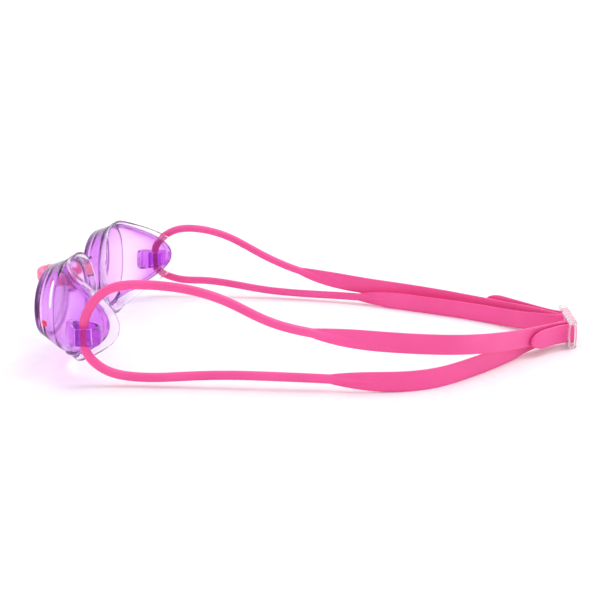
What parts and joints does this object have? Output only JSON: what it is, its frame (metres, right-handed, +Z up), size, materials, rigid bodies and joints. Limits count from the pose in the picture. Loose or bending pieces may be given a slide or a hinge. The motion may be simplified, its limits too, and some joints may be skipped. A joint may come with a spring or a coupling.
{
  "type": "swimming goggles",
  "caption": "Low-profile swimming goggles: tinted eye cups with clear gaskets, a nose bridge, and a moulded double strap held by a ladder buckle.",
  "frame": {"origin": "middle of the footprint, on the surface the goggles lie on", "axes": "+Y from the lenses back to the buckle, +X to the wearer's left, +Z up"},
  "size_m": [0.1512, 0.2216, 0.0412],
  "materials": {
    "lens_tint": "clear tinted polycarbonate",
    "gasket_clear": "clear soft silicone",
    "strap_silicone": "satin silicone",
    "bridge_silicone": "satin soft plastic",
    "buckle_clear": "clear moulded plastic"
  },
  "bodies": {
    "front": {"left_lens": "lens_tint", "right_lens": "lens_tint", "left_gasket": "gasket_clear", "right_gasket": "gasket_clear", "nose_bridge": "bridge_silicone"},
    "strap": {"left_cord": "strap_silicone", "right_cord": "strap_silicone", "left_upper_band": "strap_silicone", "right_upper_band": "strap_silicone", "left_lower_band": "strap_silicone", "right_lower_band": "strap_silicone", "back_pass": "strap_silicone", "buckle": "buckle_clear"},
    "left_strap_tail": {"left_tail": "strap_silicone"},
    "right_strap_tail": {"right_tail": "strap_silicone"}
  },
  "joints": [
    {"name": "strap_swing", "type": "hinge", "parent": "front", "child": "strap", "pos_m": [0, -0.06993, 0.0183], "axis": [1, 0, 0], "range_deg": [0, 25]},
    {"name": "left_tail_bend", "type": "hinge", "parent": "strap", "child": "left_strap_tail", "pos_m": [0.0112, 0.10627, 0.0063], "axis": [0, 0, 1], "range_deg": [0, 35], "stiffness_Nm_per_rad": 0.002},
    {"name": "right_tail_bend", "type": "hinge", "parent": "strap", "child": "right_strap_tail", "pos_m": [-0.0112, 0.10627, 0.0063], "axis": [0, 0, -1], "range_deg": [0, 35], "stiffness_Nm_per_rad": 0.002}
  ]
}
